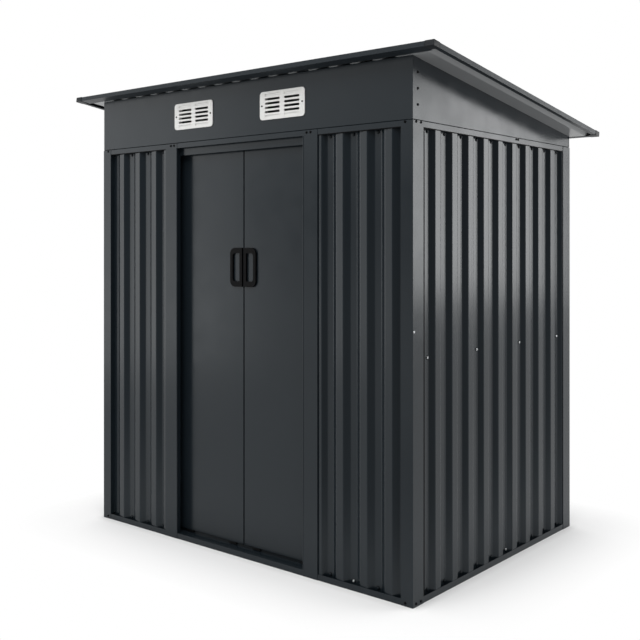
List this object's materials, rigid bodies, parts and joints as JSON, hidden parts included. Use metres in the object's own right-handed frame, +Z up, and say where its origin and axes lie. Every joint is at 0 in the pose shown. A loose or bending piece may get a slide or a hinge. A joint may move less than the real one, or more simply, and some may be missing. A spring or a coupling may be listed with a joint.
{
  "type": "metal storage shed with sliding doors",
  "caption": "Ribbed sheet-metal garden shed with a single-slope roof, louvred vents in the front fascia and a pair of sliding doors that open behind the front panels.",
  "frame": {"origin": "on the ground under the middle of the roof, which is the bottom centre of the whole shed", "axes": "+X to the right seen from the front, +Y to the rear, +Z up; the doors face -Y"},
  "size_m": [1.854, 1.2638, 1.8299],
  "materials": {
    "painted_steel": "semi-gloss anthracite paint",
    "vent_plastic": "white moulded plastic",
    "black_plastic": "black moulded plastic",
    "nylon": "black nylon"
  },
  "bodies": {
    "shed": {"base_rail_front": "painted_steel", "base_rail_rear": "painted_steel", "base_rail_left": "painted_steel", "base_rail_right": "painted_steel", "corner_post_front_left": "painted_steel", "corner_post_front_right": "painted_steel", "corner_post_rear_left": "painted_steel", "corner_post_rear_right": "painted_steel", "door_jamb_left": "painted_steel", "door_jamb_right": "painted_steel", "front_panel_left": "painted_steel", "front_panel_right": "painted_steel", "left_wall_front_sheet": "painted_steel", "left_wall_rear_sheet": "painted_steel", "right_wall_front_sheet": "painted_steel", "right_wall_rear_sheet": "painted_steel", "rear_wall_left_sheet": "painted_steel", "rear_wall_centre_sheet": "painted_steel", "rear_wall_right_sheet": "painted_steel", "wall_braces": "painted_steel", "top_rail_front": "painted_steel", "top_rail_rear": "painted_steel", "top_rail_left": "painted_steel", "top_rail_right": "painted_steel", "front_fascia": "painted_steel", "rear_fascia": "painted_steel", "gable_left": "painted_steel", "gable_right": "painted_steel", "vent_left": "vent_plastic", "vent_right": "vent_plastic", "roof_beams": "painted_steel", "roof_sheet_left": "painted_steel", "roof_sheet_centre": "painted_steel", "roof_sheet_right": "painted_steel", "roof_trim_front": "painted_steel", "roof_trim_rear": "painted_steel", "roof_trim_left": "painted_steel", "roof_trim_right": "painted_steel", "roof_corner_caps": "black_plastic", "door_track": "painted_steel"},
    "left_door": {"left_door_leaf": "painted_steel", "left_door_stiffeners": "painted_steel", "left_door_handle": "black_plastic", "left_door_glides": "nylon"},
    "right_door": {"right_door_leaf": "painted_steel", "right_door_stiffeners": "painted_steel", "right_door_handle": "black_plastic", "right_door_glides": "nylon"}
  },
  "joints": [
    {"name": "left_door_slide", "type": "slide", "parent": "shed", "child": "left_door", "axis": [-1, 0, 0], "range_m": [0, 0.261]},
    {"name": "right_door_slide", "type": "slide", "parent": "shed", "child": "right_door", "axis": [1, 0, 0], "range_m": [0, 0.261]}
  ]
}
